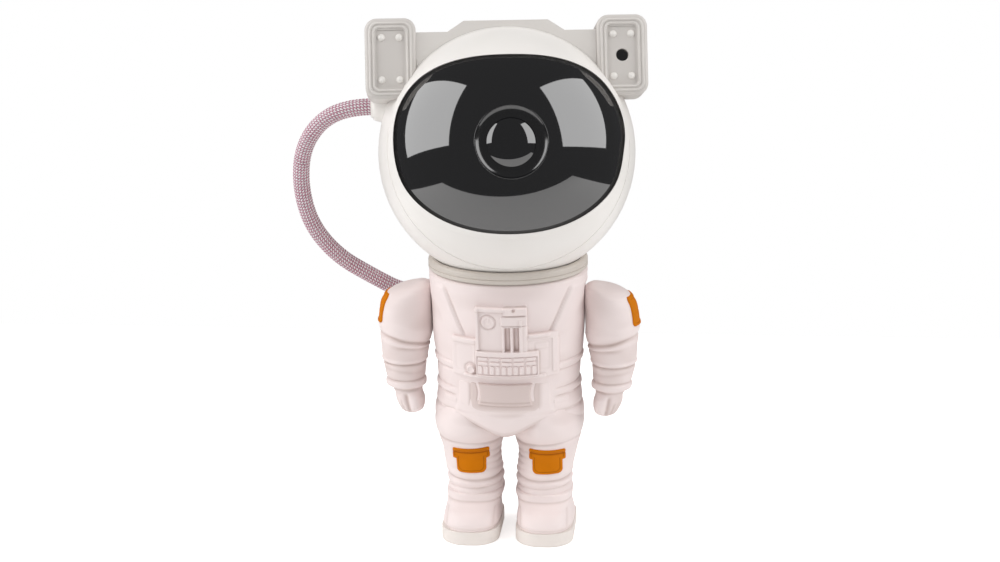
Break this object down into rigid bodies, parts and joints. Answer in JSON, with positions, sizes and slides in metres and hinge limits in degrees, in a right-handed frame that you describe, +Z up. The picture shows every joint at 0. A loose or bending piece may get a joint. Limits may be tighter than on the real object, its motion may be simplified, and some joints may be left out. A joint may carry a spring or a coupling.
{
  "type": "star and nebula projector",
  "caption": "Standing space-suited figure with a ball head that turns and tilts on its neck ring and projects a night sky through a lens in its visor.",
  "frame": {"origin": "on the table, under the middle of the figure and its head, measured without the hose", "axes": "+Z up from the soles, -Y the way the suit faces, +X to the right as seen from in front"},
  "size_m": [0.1548, 0.1123, 0.2268],
  "materials": {
    "shell_white": "moulded ABS, fine satin texture",
    "visor_black": "polished black acrylic",
    "bezel_black": "polished black ring",
    "lens_glass": "smoked dome lens",
    "trim_grey": "moulded ABS, warm light grey",
    "suit_white": "moulded ABS, matt",
    "patch_orange": "painted orange",
    "sole_rubber": "pale soft rubber",
    "hose_braid": "braided sleeve",
    "ring_beige": "moulded ABS",
    "magnet_steel": "nickel plated magnet",
    "catch_steel": "pressed steel",
    "frame_black": "black moulded ABS",
    "board_green": "glass epoxy board",
    "emitter_yellow": "phosphor",
    "sink_aluminium": "extruded aluminium",
    "clear_glass": "clear optical glass",
    "motor_steel": "plated steel can",
    "shaft_steel": "ground steel",
    "screw_steel": "zinc plated steel",
    "laser_brass": "turned brass",
    "usb_steel": "plated steel shell",
    "switch_black": "black switch body",
    "button_grey": "soft grey push button",
    "weight_iron": "cast iron slug"
  },
  "bodies": {
    "suit": {"suit_front": "suit_white", "suit_back": "suit_white", "suit_screws": "screw_steel", "sole_left": "sole_rubber", "sole_right": "sole_rubber", "boot_weight_left": "weight_iron", "boot_weight_right": "weight_iron", "arm_left": "suit_white", "arm_right": "suit_white", "shoulder_patch_left": "patch_orange", "shoulder_patch_right": "patch_orange", "knee_patch_left": "patch_orange", "knee_patch_right": "patch_orange", "backpack": "suit_white", "pack_cover": "suit_white", "cover_screws": "screw_steel", "hose_port": "ring_beige", "hose": "hose_braid"},
    "neck": {"neck_ring": "ring_beige", "neck_magnet": "magnet_steel"},
    "head": {"helmet_front": "shell_white", "helmet_rear": "shell_white", "visor": "visor_black", "lens_bezel": "bezel_black", "projection_lens": "lens_glass", "lens_barrel": "frame_black", "light_plate": "frame_black", "plate_screws": "screw_steel", "light_frame": "frame_black", "frame_screws": "screw_steel", "led_board": "board_green", "led_emitters": "emitter_yellow", "heat_sink": "sink_aluminium", "condenser_holder": "frame_black", "condenser_lens": "clear_glass", "motor": "motor_steel", "main_board": "board_green", "board_screws": "screw_steel", "usb_socket": "usb_steel", "nebula_switch": "switch_black", "star_switch": "switch_black", "catch_dish": "catch_steel", "ear_pod_left": "trim_grey", "ear_pod_right": "trim_grey", "pod_panel_left": "trim_grey", "pod_panel_right": "trim_grey", "pod_rivets_left": "trim_grey", "pod_rivets_right": "trim_grey", "laser_holder": "frame_black", "star_grating": "clear_glass", "laser_module": "laser_brass", "top_bridge": "trim_grey", "hose_gland": "suit_white"},
    "disc": {"ripple_disc": "clear_glass", "drive_shaft": "shaft_steel"},
    "nebula_button": {"button_nebula": "button_grey"},
    "star_button": {"button_star": "button_grey"}
  },
  "joints": [
    {"name": "head_turn", "type": "hinge", "parent": "suit", "child": "neck", "pos_m": [0, 0, 0.1176], "axis": [0, 0, 1], "range_deg": [-60, 60], "deforming": ["hose"]},
    {"name": "head_tilt", "type": "hinge", "parent": "neck", "child": "head", "pos_m": [0, 0, 0.1685], "axis": [-0.9914, -0.1305, 0], "range_deg": [-15, 25], "deforming": ["hose"]},
    {"name": "disc_spin", "type": "hinge", "parent": "head", "child": "disc", "pos_m": [0.01966, -0.01145, 0.17257], "axis": [0.1253, -0.9516, 0.2807], "continuous": true},
    {"name": "nebula_press", "type": "slide", "parent": "head", "child": "nebula_button", "axis": [0.1253, -0.9516, 0.2807], "range_m": [0, 0.0008], "stiffness_N_per_m": 800},
    {"name": "star_press", "type": "slide", "parent": "head", "child": "star_button", "axis": [0.1253, -0.9516, 0.2807], "range_m": [0, 0.0008], "stiffness_N_per_m": 800}
  ]
}
